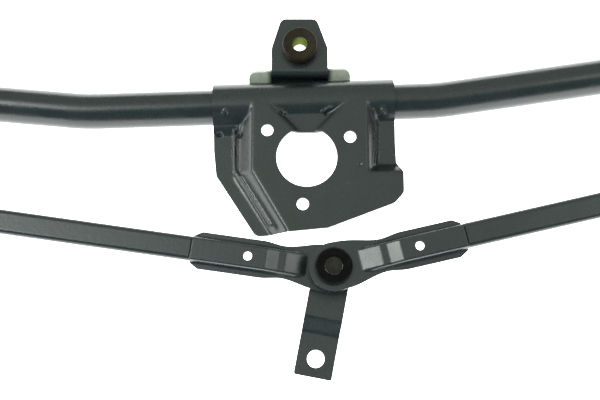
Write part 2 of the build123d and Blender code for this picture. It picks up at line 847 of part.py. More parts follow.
for side in SIDES:
    outer = outer_ball[side]
    foot = spindle[side]
    angle = rod_angle[side]
    level = eye_z[side]
    reach = rod_end_length[side]
    write(rod_tube(side), f"{side}_rod_tube")
    write(rod_end(ball_x, ball_y, level, angle, reach), f"{side}_rod_inner_end")
    write(rod_end(outer.X, outer.Y, level, angle + 180, reach), f"{side}_rod_outer_end")
    write(ball_socket(ball_x, ball_y, level), f"{side}_rod_inner_socket")
    write(ball_socket(outer.X, outer.Y, level), f"{side}_rod_outer_socket")
    write(lever(side), f"{side}_lever")
    write(ball_stud(outer.X, outer.Y, lever_z[side], lever_sheet, [level]), f"{side}_lever_stud")

    write(spindle_shaft(side), f"{side}_spindle")
    write(spindle_housing(side), f"{side}_housing")
    upper_bush_z = housing_top[side] - bush_length
    write(ring(foot.X, foot.Y, housing_bottom, bush_length, bush_bore, bush_outer), f"{side}_lower_bush")
    write(ring(foot.X, foot.Y, upper_bush_z, bush_length, bush_bore, bush_outer), f"{side}_upper_bush")
    washer_z = housing_bottom - axial_play - washer_sheet
    washer_radius = spindle_radius + washer_rim
    write(ring(foot.X, foot.Y, washer_z, washer_sheet, bush_bore, washer_radius), f"{side}_thrust_washer")
    write(circlip(side), f"{side}_circlip")
    write(seal_ring(side), f"{side}_seal_ring")

    lug = lug_centre[side]
    lug_bottom = lug_top - lug_sheet
    lug_ends = (lug_bottom - lug_flange, lug_top + lug_flange)
    write(fixing_bush(lug.X, lug.Y, *lug_ends, lug_bottom, lug_top), f"{side}_lug_grommet")
    write(fixing_sleeve(lug.X, lug.Y, *lug_ends), f"{side}_lug_sleeve")
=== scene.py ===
"""Looks of a windshield wiper linkage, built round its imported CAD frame.

Lengths are in metres, and in millimetres where a docstring says so.
"""

import json
import logging
from collections.abc import Callable
from dataclasses import dataclass
from enum import Enum
from math import cos, hypot, radians, sin

import bpy
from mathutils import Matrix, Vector


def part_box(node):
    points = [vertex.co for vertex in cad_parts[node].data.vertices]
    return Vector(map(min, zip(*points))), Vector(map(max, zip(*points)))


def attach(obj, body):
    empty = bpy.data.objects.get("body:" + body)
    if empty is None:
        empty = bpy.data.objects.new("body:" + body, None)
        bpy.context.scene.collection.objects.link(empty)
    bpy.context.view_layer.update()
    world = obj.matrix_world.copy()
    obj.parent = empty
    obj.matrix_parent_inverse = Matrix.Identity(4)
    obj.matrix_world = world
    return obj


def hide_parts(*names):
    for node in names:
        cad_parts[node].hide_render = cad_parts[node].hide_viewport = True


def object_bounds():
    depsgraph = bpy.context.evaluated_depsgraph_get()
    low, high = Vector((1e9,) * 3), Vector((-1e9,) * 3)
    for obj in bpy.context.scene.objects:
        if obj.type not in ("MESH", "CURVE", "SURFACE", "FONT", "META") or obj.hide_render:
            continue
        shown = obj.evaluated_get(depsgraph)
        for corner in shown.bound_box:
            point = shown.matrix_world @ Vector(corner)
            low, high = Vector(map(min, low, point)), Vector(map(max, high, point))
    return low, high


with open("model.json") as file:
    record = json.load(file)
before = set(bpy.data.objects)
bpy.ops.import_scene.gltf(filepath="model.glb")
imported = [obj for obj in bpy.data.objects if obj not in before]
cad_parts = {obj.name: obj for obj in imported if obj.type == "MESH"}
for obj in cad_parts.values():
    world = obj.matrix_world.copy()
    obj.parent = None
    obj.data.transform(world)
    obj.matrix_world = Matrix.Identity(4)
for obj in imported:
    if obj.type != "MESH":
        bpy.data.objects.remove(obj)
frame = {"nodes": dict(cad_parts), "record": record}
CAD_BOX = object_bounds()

logging.basicConfig(level=logging.INFO, format="%(message)s")
report = logging.getLogger("wiper")

MM = 0.001
SIDES = ("left", "right")
NODES = frame["nodes"]

Point = tuple[float, float, float]
Colour = tuple[float, float, float]


# ---- hand tools: selection, edit mode and modifiers ----


class Element(Enum):
    """What an edit picks on a mesh."""

    VERTEX = "VERT"
    EDGE = "EDGE"
    FACE = "FACE"


def take(piece: bpy.types.Object) -> None:
    """Leaves only this piece selected and active.

    Args:
        piece: The piece that the next operator works on.
    """
    if bpy.context.object and bpy.context.object.mode != "OBJECT":
        bpy.ops.object.mode_set(mode="OBJECT")
    bpy.ops.object.select_all(action="DESELECT")
    piece.select_set(True)
    bpy.context.view_layer.objects.active = piece


def pick(piece: bpy.types.Object, element: Element, wanted: Callable[[object], bool]) -> int:
    """Opens the piece in edit mode with only the wanted elements selected.

    Args:
        piece: The mesh to open.
        element: Whether vertices, edges or faces are picked.
        wanted: Says of one vertex, edge or face whether it is picked.

    Returns:
        How many elements were picked.
    """
    take(piece)
    bpy.ops.object.mode_set(mode="EDIT")
    bpy.ops.mesh.select_mode(type=element.value)
    bpy.ops.mesh.select_all(action="DESELECT")
    bpy.ops.object.mode_set(mode="OBJECT")
    mesh = piece.data
    rows = {
        Element.VERTEX: mesh.vertices,
        Element.EDGE: mesh.edges,
        Element.FACE: mesh.polygons,
    }[element]
    count = 0
    for row in rows:
        if wanted(row):
            row.select = True
            count += 1
    bpy.ops.object.mode_set(mode="EDIT")
    return count


def close_edit() -> None:
    """Goes back to object mode."""
    bpy.ops.object.mode_set(mode="OBJECT")


def modify(piece: bpy.types.Object, kind: str, **settings: object) -> None:
    """Adds one modifier and applies it.

    Args:
        piece: The mesh that is changed.
        kind: The modifier's type.
        **settings: Its properties.
    """
    take(piece)
    modifier = piece.modifiers.new(kind.lower(), kind)
    for name, value in settings.items():
        setattr(modifier, name, value)
    bpy.ops.object.modifier_apply(modifier=modifier.name)


def settle(piece: bpy.types.Object, name: str) -> bpy.types.Object:
    """Puts the place of a piece into its mesh and names it.

    Args:
        piece: The finished piece.
        name: Its name in the outliner.

    Returns:
        The same piece.
    """
    take(piece)
    bpy.ops.object.transform_apply(location=True, rotation=True, scale=True)
    piece.name = name
    piece.data.name = name
    return piece


def face_outwards(piece: bpy.types.Object) -> None:
    """Merges doubles and turns every face outwards.

    Args:
        piece: The mesh to put right.
    """
    take(piece)
    bpy.ops.object.mode_set(mode="EDIT")
    bpy.ops.mesh.select_all(action="SELECT")
    bpy.ops.mesh.remove_doubles(threshold=1e-6)
    bpy.ops.mesh.normals_make_consistent(inside=False)
    bpy.ops.object.mode_set(mode="OBJECT")


def shade(piece: bpy.types.Object, angle: float = 35.0) -> None:
    """Smooths the shading except over edges sharper than this many degrees."""
    take(piece)
    bpy.ops.object.shade_smooth_by_angle(angle=radians(angle))


def copy_node(node: str, name: str) -> bpy.types.Object:
    """Copies a CAD node's mesh into a new piece with merged points and flat faces made whole.

    Args:
        node: The CAD node.
        name: The new piece's name.

    Returns:
        The new piece.
    """
    piece = bpy.data.objects.new(name, NODES[node].data.copy())
    bpy.context.scene.collection.objects.link(piece)
    for key in [k for k in piece.keys() if k.startswith("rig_")]:
        del piece[key]
    piece.data.materials.clear()
    take(piece)
    bpy.ops.mesh.customdata_custom_splitnormals_clear()
    bpy.ops.object.mode_set(mode="EDIT")
    bpy.ops.mesh.select_all(action="SELECT")
    bpy.ops.mesh.remove_doubles(threshold=2e-6)
    bpy.ops.mesh.dissolve_limited(angle_limit=radians(0.6))
    bpy.ops.object.mode_set(mode="OBJECT")
    return piece


def choose_rim(piece: bpy.types.Object, group: str, wanted: Callable[[Vector], bool]) -> None:
    """Puts the wanted points of the piece's open rim in a vertex group.

    Args:
        piece: An open sheet.
        group: The vertex group's name.
        wanted: Says of a rim point's place whether it belongs.
    """
    take(piece)
    bpy.ops.object.mode_set(mode="EDIT")
    bpy.ops.mesh.select_mode(type="VERT")
    bpy.ops.mesh.select_all(action="DESELECT")
    bpy.ops.mesh.select_non_manifold(
        extend=False,
        use_wire=False,
        use_boundary=True,
        use_multi_face=False,
        use_non_contiguous=False,
        use_verts=False,
    )
    bpy.ops.object.mode_set(mode="OBJECT")
    rim = {point.index for point in piece.data.vertices if point.select and wanted(point.co)}
    pick(piece, Element.VERTEX, lambda point: point.index in rim)
    bpy.ops.object.vertex_group_add()
    bpy.ops.object.vertex_group_assign()
    close_edit()
    piece.vertex_groups[-1].name = group


def distance_to_line(place: Vector, line: tuple[tuple[float, float], ...]) -> float:
    """Gives how far a place is from a line of straight runs, seen from above.

    Args:
        place: The place, in metres.
        line: The line's corners, in metres.

    Returns:
        The shortest distance, in metres.
    """
    best = 1.0
    for (ax, ay), (bx, by) in zip(line, line[1:]):
        along_x, along_y = bx - ax, by - ay
        share = ((place.x - ax) * along_x + (place.y - ay) * along_y) / (along_x**2 + along_y**2)
        share = max(0.0, min(1.0, share))
        best = min(best, hypot(place.x - ax - share * along_x, place.y - ay - share * along_y))
    return best


# ---- finishes ----


class NodeSheet:
    """A material's node tree, with short ways to add and join its nodes."""

    def __init__(self, name: str) -> None:
        """Starts an empty tree with a Principled shader on its output.

        Args:
            name: The new material's name.
        """
        self.material = bpy.data.materials.new(name)
        self.material.use_nodes = True
        self.tree = self.material.node_tree
        self.tree.nodes.clear()
        self.shader = self.add("ShaderNodeBsdfPrincipled")
        out = self.add("ShaderNodeOutputMaterial")
        self.join(self.shader.outputs["BSDF"], out.inputs["Surface"])
        self.place = self.add("ShaderNodeTexCoord").outputs["Object"]

    def add(self, kind: str, **settings: object) -> bpy.types.Node:
        """Adds a node and sets its properties.

        Args:
            kind: The node's Blender type.
            **settings: Properties to set on it.

        Returns:
            The new node.
        """
        node = self.tree.nodes.new(kind)
        for name, value in settings.items():
            setattr(node, name, value)
        return node

    def join(self, source: bpy.types.NodeSocket, target: bpy.types.NodeSocket) -> None:
        """Links one socket to another."""
        self.tree.links.new(source, target)

    def noise(
        self, scale: float, detail: float = 4.0, rough: float = 0.6, stretch: Point = (1, 1, 1)
    ) -> bpy.types.NodeSocket:
        """Adds a noise on the object's own place.

        Args:
            scale: Features per metre, roughly.
            detail: Octaves.
            rough: How strong the finer octaves are.
            stretch: Scale along each axis, for a grain with a direction.

        Returns:
            The noise's value.
        """
        mapping = self.add("ShaderNodeMapping")
        mapping.inputs["Scale"].default_value = stretch
        self.join(self.place, mapping.inputs["Vector"])
        node = self.add("ShaderNodeTexNoise")
        node.inputs["Scale"].default_value = scale
        node.inputs["Detail"].default_value = detail
        node.inputs["Roughness"].default_value = rough
        self.join(mapping.outputs["Vector"], node.inputs["Vector"])
        return node.outputs["Fac"]

    def ramp(
        self,
        value: bpy.types.NodeSocket,
        low: float,
        high: float,
        start: float = 0.0,
        end: float = 1.0,
    ) -> bpy.types.NodeSocket:
        """Maps a value from low..high to start..end, held at both ends.

        Args:
            value: The value to map.
            low: Where it starts to act.
            high: Where it acts in full.
            start: Result at low.
            end: Result at high.

        Returns:
            The mapped value.
        """
        node = self.add("ShaderNodeMapRange")
        limits = {"From Min": low, "From Max": high, "To Min": start, "To Max": end}
        for name, number in limits.items():
            node.inputs[name].default_value = number
        self.join(value, node.inputs["Value"])
        return node.outputs["Result"]

    def blend(
        self, factor: bpy.types.NodeSocket, first: object, second: object
    ) -> bpy.types.NodeSocket:
        """Mixes two colours, each a colour or a socket, by a factor.

        Args:
            factor: 0 for the first, 1 for the second.
            first: A colour or a colour socket.
            second: A colour or a colour socket.

        Returns:
            The mixed colour.
        """
        node = self.add("ShaderNodeMix", data_type="RGBA")
        self.join(factor, node.inputs["Factor"])
        for socket, colour in ((node.inputs[6], first), (node.inputs[7], second)):
            if isinstance(colour, tuple):
                socket.default_value = (*colour, 1.0)
            else:
                self.join(colour, socket)
        return node.outputs[2]

    def sum(
        self, first: bpy.types.NodeSocket, second: bpy.types.NodeSocket, operation: str = "ADD"
    ) -> bpy.types.NodeSocket:
        """Joins two values by one arithmetic operation.

        Args:
            first: The first value.
            second: The second value.
            operation: The Math node's operation.

        Returns:
            The result.
        """
        node = self.add("ShaderNodeMath", operation=operation)
        self.join(first, node.inputs[0])
        self.join(second, node.inputs[1])
        return node.outputs[0]

    def bump(self, height: bpy.types.NodeSocket, distance: float, strength: float = 1.0) -> None:
        """Raises the surface by a height pattern, on top of any bump that is there already.

        Args:
            height: The pattern.
            distance: How far it raises the surface, in metres.
            strength: How much of it shows.
        """
        node = self.add("ShaderNodeBump")
        node.inputs["Strength"].default_value = strength
        node.inputs["Distance"].default_value = distance
        self.join(height, node.inputs["Height"])
        socket = self.shader.inputs["Normal"]
        if socket.is_linked:
            self.join(socket.links[0].from_socket, node.inputs["Normal"])
        self.join(node.outputs["Normal"], socket)


@dataclass(frozen=True)
class CoatedSteel:
    """Pressed steel with a thin dipped coat: cloudy, with faint orange peel, rubbed specks and,
    where asked, a pale painted reflection.
    """

    name: str = "dark_coat"
    colour: Colour = (0.0065, 0.0120, 0.0100)
    cloud: Colour = (0.0085, 0.0115, 0.0125)
    rubbed: Colour = (0.10, 0.115, 0.105)
    roughness: tuple[float, float] = (0.22, 0.31)
    peel: float = 0.000012
    # The last two fields paint a pale reflection of the bright floor beyond a middle band along X.
    # This is painted light, not a thinner coat.
    painted_sheen_span: tuple[float, float] = (0.0, 0.0)
    painted_sheen: Colour = (0.46, 0.49, 0.40)

    def painted_sheen_mask(self, sheet: NodeSheet) -> bpy.types.NodeSocket:
        """Gives 1 where the pale painted reflection goes: further along X from a middle than a half
        width, softly.

        Args:
            sheet: The material's nodes.

        Returns:
            The mask.
        """
        middle, half_width = self.painted_sheen_span
        parts = sheet.add("ShaderNodeSeparateXYZ")
        sheet.join(sheet.place, parts.inputs["Vector"])
        shift = sheet.add("ShaderNodeMath", operation="SUBTRACT")
        shift.inputs[1].default_value = middle
        sheet.join(parts.outputs["X"], shift.inputs[0])
        size = sheet.add("ShaderNodeMath", operation="ABSOLUTE")
        sheet.join(shift.outputs[0], size.inputs[0])
        near = sheet.ramp(size.outputs[0], half_width, half_width + 0.0035)
        patchy = sheet.ramp(sheet.noise(150.0, 4.0), 0.25, 0.6, 0.7, 1.0)
        return sheet.sum(near, patchy, "MULTIPLY")

    def make(self) -> bpy.types.Material:
        """Builds the material.

        Returns:
            The new material.
        """
        sheet = NodeSheet(self.name)
        cloud = sheet.ramp(sheet.noise(28.0, 3.0), 0.35, 0.65)
        body = sheet.blend(cloud, self.colour, self.cloud)
        specks = sheet.ramp(sheet.noise(900.0, 2.0, 0.5), 0.72, 0.80, 0.0, 0.55)
        scuffs = sheet.ramp(sheet.noise(160.0, 5.0, 0.7, (0.25, 1.0, 1.0)), 0.66, 0.80, 0.0, 0.35)
        wear = sheet.sum(specks, scuffs, "MAXIMUM")
        skin = sheet.blend(wear, body, self.rubbed)
        # Paints the pale reflection over the coat wherever a band is set.
        if self.painted_sheen_span[1]:
            skin = sheet.blend(self.painted_sheen_mask(sheet), skin, self.painted_sheen)
        sheet.join(skin, sheet.shader.inputs["Base Color"])
        smudge = sheet.ramp(sheet.noise(60.0, 4.0), 0.3, 0.7, *self.roughness)
        sheet.join(smudge, sheet.shader.inputs["Roughness"])
        sheet.shader.inputs["IOR"].default_value = 1.52
        sheet.bump(sheet.noise(420.0, 2.0), self.peel * 4)
        sheet.bump(sheet.noise(1700.0, 2.0), self.peel)
        return sheet.material


@dataclass(frozen=True)
class Rubber:
    """Moulded rubber with a bloom and a fine grain."""

    name: str
    colour: Colour
    bloom: Colour
    roughness: tuple[float, float] = (0.4, 0.6)
    shine: float = 0.1

    def make(self) -> bpy.types.Material:
        """Builds the material.

        Returns:
            The new material.
        """
        sheet = NodeSheet(self.name)
        bloom = sheet.ramp(sheet.noise(180.0, 5.0), 0.42, 0.75)
        speck = sheet.ramp(sheet.noise(1500.0, 2.0), 0.66, 0.78, 0.0, 0.7)
        patches = sheet.sum(bloom, speck, "MAXIMUM")
        rubbed = sheet.blend(patches, self.colour, self.bloom)
        sheet.join(rubbed, sheet.shader.inputs["Base Color"])
        gloss = sheet.ramp(sheet.noise(350.0), 0.3, 0.7, *self.roughness)
        sheet.join(gloss, sheet.shader.inputs["Roughness"])
        sheet.shader.inputs["Specular IOR Level"].default_value = self.shine
        sheet.bump(sheet.noise(2200.0, 3.0), 0.00005)
        return sheet.material


@dataclass(frozen=True)
class BareMetal:
    """Bare or plated metal: turned, drawn or cast, by the direction and depth of its grain."""

    name: str
    colour: Colour
    tarnish: Colour
    roughness: tuple[float, float]
    grain: Point = (1.0, 1.0, 1.0)
    grain_scale: float = 900.0
    depth: float = 0.00001
    metallic: float = 1.0
    edge_tint: Colour = (1.0, 1.0, 1.0)

    def make(self) -> bpy.types.Material:
        """Builds the material.

        Returns:
            The new material.
        """
        sheet = NodeSheet(self.name)
        stain = sheet.ramp(sheet.noise(120.0, 5.0, 0.65), 0.38, 0.72)
        sheet.join(sheet.blend(stain, self.colour, self.tarnish), sheet.shader.inputs["Base Color"])
        lines = sheet.noise(self.grain_scale, 3.0, 0.6, self.grain)
        sheet.join(sheet.ramp(lines, 0.3, 0.7, *self.roughness), sheet.shader.inputs["Roughness"])
        sheet.shader.inputs["Metallic"].default_value = self.metallic
        sheet.shader.inputs["Specular Tint"].default_value = (*self.edge_tint, 1.0)
        sheet.bump(lines, self.depth)
        return sheet.material


@dataclass(frozen=True)
class MouldedPlastic:
    """Black socket plastic with a film of grease."""

    name: str = "socket_plastic"
    colour: Colour = (0.0022, 0.0024, 0.0024)
    grease: Colour = (0.006, 0.005, 0.004)
    shine: float = 0.04
    roughness: tuple[float, float] = (0.30, 0.52)

    def make(self) -> bpy.types.Material:
        """Builds the material.

        Returns:
            The new material.
        """
        sheet = NodeSheet(self.name)
        film = sheet.ramp(sheet.noise(260.0, 4.0), 0.52, 0.68)
        sheet.join(sheet.blend(film, self.colour, self.grease), sheet.shader.inputs["Base Color"])
        gloss = sheet.ramp(sheet.noise(420.0, 3.0), 0.35, 0.65, *self.roughness)
        sheet.join(gloss, sheet.shader.inputs["Roughness"])
        sheet.shader.inputs["Specular IOR Level"].default_value = self.shine
        sheet.bump(sheet.noise(1400.0, 3.0), 0.00003)
        return sheet.material


class Finishes:
    """Every finish of the linkage, made once and handed out by the record's slot names."""

    def __init__(self) -> None:
        """Makes the materials."""
        makers = [
            CoatedSteel(),
            # The ear's wings beyond its plate get a pale painted reflection of the bright floor.
            CoatedSteel("ear_coat", painted_sheen_span=(-0.0042, 0.0172)),
            Rubber("brown_rubber", (0.014, 0.010, 0.005), (0.026, 0.020, 0.010)),
            Rubber("black_rubber", (0.008, 0.008, 0.008), (0.022, 0.021, 0.020)),
            BareMetal(
                "yellow_zinc",
                (0.150, 0.165, 0.100),
                (0.115, 0.130, 0.072),
                (0.25, 0.45),
                (1, 1, 0.15),
                edge_tint=(0.24, 0.26, 0.16),
            ),
            MouldedPlastic(),
            MouldedPlastic(
                "grease",
                (0.020, 0.014, 0.008),
                (0.012, 0.008, 0.004),
                1.0,
                (0.10, 0.18),
            ),
            BareMetal("ball_steel", (0.030, 0.029, 0.024), (0.012, 0.011, 0.009), (0.18, 0.38)),
            BareMetal(
                "spindle_steel",
                (0.11, 0.11, 0.105),
                (0.075, 0.073, 0.068),
                (0.16, 0.34),
                (0.2, 0.2, 6.0),
            ),
            BareMetal("spring_steel", (0.10, 0.10, 0.11), (0.06, 0.055, 0.05), (0.25, 0.42)),
            BareMetal(
                "cast_aluminium",
                (0.075, 0.077, 0.080),
                (0.050, 0.052, 0.054),
                (0.42, 0.62),
                (1, 1, 1),
                700.0,
                0.00006,
            ),
            BareMetal(
                "bearing_bronze",
                (0.46, 0.29, 0.13),
                (0.30, 0.19, 0.09),
                (0.35, 0.55),
                (1, 1, 1),
                1600.0,
                0.00003,
            ),
        ]
        self.by_slot = {maker.name: maker.make() for maker in makers}

    def dress(self, piece: bpy.types.Object, slot: str) -> None:
        """Gives a piece the finish of a slot."""
        piece.data.materials.clear()
        piece.data.materials.append(self.by_slot[slot])

    def dress_node(self, node: str) -> None:
        """Gives a carried-over CAD node the finish of its own slot."""
        slots = {row["node"]: row["material_slot"] for row in frame["record"]["subparts"]}
        NODES[node].material_slots[0].material = self.by_slot[slots[node]]


# ---- pressed sheets ----


@dataclass(frozen=True)
class Emboss:
    """A bead, a dent or a weld spot pressed along a line. Sizes in millimetres.

    Attributes:
        line: Its middle line, or the same point twice for a round one.
        half_width: From the middle line to where it fades out.
        height: How far it stands up, or below nought for how deep it goes.
    """

    line: tuple[tuple[float, float], ...]
    half_width: float
    height: float


@dataclass
class PressedSheet:
    """A sheet laid as a fine grid over its CAD shape, trimmed at the rim and rounded at its bends.

    Attributes:
        node: The CAD node that it follows and stands for.
        body: The body that it moves with.
        corner: The middle of the grid's upper edge, in millimetres.
        turn: Degrees that the grid is turned about that point.
        span: The grid's size along and down, in millimetres.
        pitch: The grid's step, in millimetres.
        thickness: The sheet's thickness, in millimetres.
        rounding: How many times the bends are softened.
        embossed: Its beads, dents and weld spots.
        filled: Inner corners that are filled to a wide radius.
        finish: The finish's name.
    """

    node: str
    body: str
    corner: tuple[float, float]
    turn: float
    span: tuple[float, float]
    pitch: float
    thickness: float
    rounding: int
    embossed: tuple[Emboss, ...] = ()
    filled: tuple[Emboss, ...] = ()
    finish: str = "dark_coat"

    def lay(self) -> bpy.types.Object:
        """Lays the grid above the shape.

        Returns:
            The flat grid.
        """
        along, down = self.span
        counts = {
            "x_subdivisions": round(along / self.pitch),
            "y_subdivisions": round(down / self.pitch),
        }
        slant = radians(self.turn)
        middle_x = self.corner[0] + down / 2 * sin(slant)
        middle_y = self.corner[1] - down / 2 * cos(slant)
        place = (middle_x * MM, middle_y * MM, 0.2)
        bpy.ops.mesh.primitive_grid_add(size=1.0, location=place, rotation=(0, 0, slant), **counts)
        piece = bpy.context.object
        piece.scale = (along * MM, down * MM, 1.0)
        return settle(piece, self.node + "_pressing")

    def drop(self, piece: bpy.types.Object) -> None:
        """Drops the grid on the shape and cuts away what misses it.

        Args:
            piece: The grid, laid above the shape.
        """
        modify(
            piece,
            "SHRINKWRAP",
            target=NODES[self.node],
            wrap_method="PROJECT",
            use_project_z=True,
            use_negative_direction=True,
            use_positive_direction=False,
        )
        pick(piece, Element.VERTEX, lambda point: point.co.z > 0.15)
        bpy.ops.mesh.delete(type="VERT")
        close_edit()

    def is_open_row(self, place: Vector) -> bool:
        """Says whether a place lies on the grid's own upper edge.

        Args:
            place: A point of the grid, in metres.

        Returns:
            Whether it is on that edge.
        """
        slant = radians(self.turn)
        right = place.x / MM - self.corner[0]
        up = place.y / MM - self.corner[1]
        across = right * sin(slant) - up * cos(slant)
        return abs(across) < self.pitch / 2

    def trim(self, piece: bpy.types.Object) -> None:
        """Draws the stepped rim out to the shape's own outline and holes.

        Args:
            piece: The grid, lying on the shape.
        """
        edge = copy_node(self.node, self.node + "_rim")
        pick(edge, Element.FACE, lambda face: abs(face.normal.z) > 0.2)
        bpy.ops.mesh.delete(type="FACE")
        close_edit()
        choose_rim(piece, "rim", lambda place: not self.is_open_row(place))
        modify(
            piece,
            "SHRINKWRAP",
            target=edge,
            wrap_method="NEAREST_SURFACEPOINT",
            vertex_group="rim",
        )
        bpy.data.objects.remove(edge)
        pick(piece, Element.VERTEX, lambda point: any(g.weight > 0.5 for g in point.groups))
        bpy.ops.mesh.remove_doubles(threshold=self.pitch * 0.25 * MM)
        close_edit()

    def soften(self, piece: bpy.types.Object, passes: int) -> None:
        """Rounds the bends by easing heights only."""
        modify(piece, "SMOOTH", factor=0.5, iterations=passes, use_x=False, use_y=False, use_z=True)

    def emboss(self, piece: bpy.types.Object, marks: tuple[Emboss, ...]) -> None:
        """Presses each mark in four steps from its foot to its crest.

        Args:
            piece: The open sheet.
            marks: The marks to press.
        """
        steps = (1.0, 0.78, 0.56, 0.34)
        for mark in marks:
            line = tuple((x * MM, y * MM) for x, y in mark.line)
            for step in steps:
                reach = mark.half_width * step * MM
                if pick(
                    piece,
                    Element.VERTEX,
                    lambda point: distance_to_line(point.co, line) < reach,
                ):
                    bpy.ops.transform.translate(value=(0, 0, mark.height / len(steps) * MM))
                close_edit()

    def thicken(self, piece: bpy.types.Object) -> None:
        """Gives the sheet its thickness, away from the shown side.

        Args:
            piece: The open sheet.
        """
        face_outwards(piece)
        if sum(face.normal.z for face in piece.data.polygons) < 0:
            pick(piece, Element.FACE, lambda face: True)
            bpy.ops.mesh.flip_normals()
            close_edit()
        modify(piece, "SOLIDIFY", thickness=self.thickness * MM, offset=-1.0)

    def shape(self, piece: bpy.types.Object) -> None:
        """Adds what only this sheet has, before it gets its thickness."""

    def build(self, finishes: "Finishes") -> None:
        """Builds the sheet from grid to coat.

        Args:
            finishes: The finishes to dress it with.
        """
        piece = self.lay()
        self.drop(piece)
        self.trim(piece)
        self.emboss(piece, self.filled)
        self.soften(piece, self.rounding)
        self.emboss(piece, self.embossed)
        self.soften(piece, 1)
        self.shape(piece)
        self.thicken(piece)
        shade(piece, 40.0)
        finishes.dress(piece, self.finish)
        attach(piece, self.body)
        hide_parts(self.node)
        report.info("%s: %d faces", piece.name, len(piece.data.polygons))


@dataclass
class MotorBracket(PressedSheet):
    """The motor's plate, pressed in one with the saddle that is bent round the tube.

    Attributes:
        axis_z: Height of the tube's axis, in millimetres.
        wrap: Degrees that the saddle goes round from the top of the tube.
        wrap_steps: Rows of the bend.
        clinches: Places of the pips sunk into the saddle's rear edge, in millimetres.
        clinch_reaches: How far each round of denting reaches from a pip, in millimetres.
        clinch_depth: Depth of each round of denting, in millimetres.
    """

    axis_z: float = -12.0
    wrap: float = 86.6
    wrap_steps: int = 26
    clinches: tuple[Point, ...] = (
        (-51.5, 48.6, -10.6),
        (-15.9, 49.9, -10.6),
        (10.8, 50.4, -10.6),
        (45.4, 51.7, -10.6),
    )
    clinch_reaches: tuple[float, ...] = (1.5, 1.0)
    clinch_depth: float = 0.35

    def bend(self, piece: bpy.types.Object) -> None:
        """Spins the upper edge round the tube's axis.

        Args:
            piece: The open sheet.
        """
        slant = radians(self.turn)
        pick(piece, Element.VERTEX, lambda point: self.is_open_row(point.co))
        bpy.ops.mesh.spin(
            steps=self.wrap_steps,
            angle=radians(self.wrap),
            center=(self.corner[0] * MM, self.corner[1] * MM, self.axis_z * MM),
            axis=(cos(slant), sin(slant), 0.0),
        )
        close_edit()

    def sink_clinches(self, piece: bpy.types.Object) -> None:
        """Dents the rear edge at each pip.

        Args:
            piece: The bent sheet.
        """
        for place in self.clinches:
            middle = Vector(place) * MM
            for reach in self.clinch_reaches:
                span = reach * MM
                if pick(piece, Element.VERTEX, lambda point: (point.co - middle).length < span):
                    bpy.ops.transform.translate(value=(0, -self.clinch_depth * MM, 0))
                close_edit()

    def shape(self, piece: bpy.types.Object) -> None:
        """Bends the saddle and sinks its clinched pips."""
        self.bend(piece)
        self.sink_clinches(piece)


def sheet_over(node: str, body: str, turn: float, width: float, **sizes: object) -> PressedSheet:
    """Plans a pressed sheet that covers a whole CAD node.

    Args:
        node: The CAD node.
        body: The body that it moves with.
        turn: Degrees of its long side.
        width: The grid's size across, in millimetres.
        **sizes: The sheet's other sizes.

    Returns:
        The planned sheet.
    """
    low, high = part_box(node)
    middle = (low + high) / 2 / MM
    slant = radians(turn)
    corner = (middle.x - sin(slant) * width / 2, middle.y + cos(slant) * width / 2)
    length = hypot(high.x - low.x, high.y - low.y) / MM + 4.0
    return PressedSheet(node, body, corner, turn, (length, width), **sizes)


MOTOR_BRACKET = MotorBracket(
    node="motor_bracket",
    body="frame",
    corner=(0.0, 36.2),
    turn=1.9,
    span=(120.0, 86.0),
    pitch=0.5,
    thickness=2.2,
    rounding=20,
    embossed=(
        Emboss(((-43.4, 17.5), (-43.3, 6.1), (-42.8, -6.6), (-21.6, -40.4)), 1.25, 0.95),
        Emboss(((39.9, 29.3), (42.4, 21.6), (42.0, 6.1), (41.0, -2.5)), 1.2, 0.8),
        Emboss(((-48.5, 27.4), (-48.5, 27.41)), 2.3, 0.8),
        Emboss(((-48.5, 27.4), (-48.5, 27.41)), 1.3, -1.7),
        Emboss(((45.6, 29.6), (45.6, 29.61)), 2.3, 0.8),
        Emboss(((45.6, 29.6), (45.6, 29.61)), 1.3, -1.7),
        Emboss(((-17.0, 29.0), (-15.0, 28.6)), 1.0, 0.9),
        Emboss(((-13.4, 27.6), (-12.4, 27.0)), 0.9, 0.9),
        Emboss(((-15.6, 26.8), (-14.6, 26.4)), 0.9, -0.9),
        Emboss(((9.2, 28.4), (10.2, 28.4)), 0.9, 0.9),
        Emboss(((11.8, 29.4), (14.6, 30.6)), 0.9, 0.9),
        Emboss(((10.8, 26.8), (12.0, 27.4)), 0.8, -0.8),
        Emboss(((-53.6, 15.4), (-51.8, 15.9)), 1.4, -1.4),
        Emboss(((-40.6, 14.3), (-39.6, 14.9)), 1.1, -1.1),
        Emboss(((31.3, -4.9), (31.3, -4.6)), 1.1, -0.6),
    ),
    filled=(
        Emboss(((-60.0, 20.6), (-44.5, 21.2)), 5.6, 2.4),
        Emboss(((-40.2, -10.5), (-19.6, -42.5)), 3.0, 1.3),
    ),
)


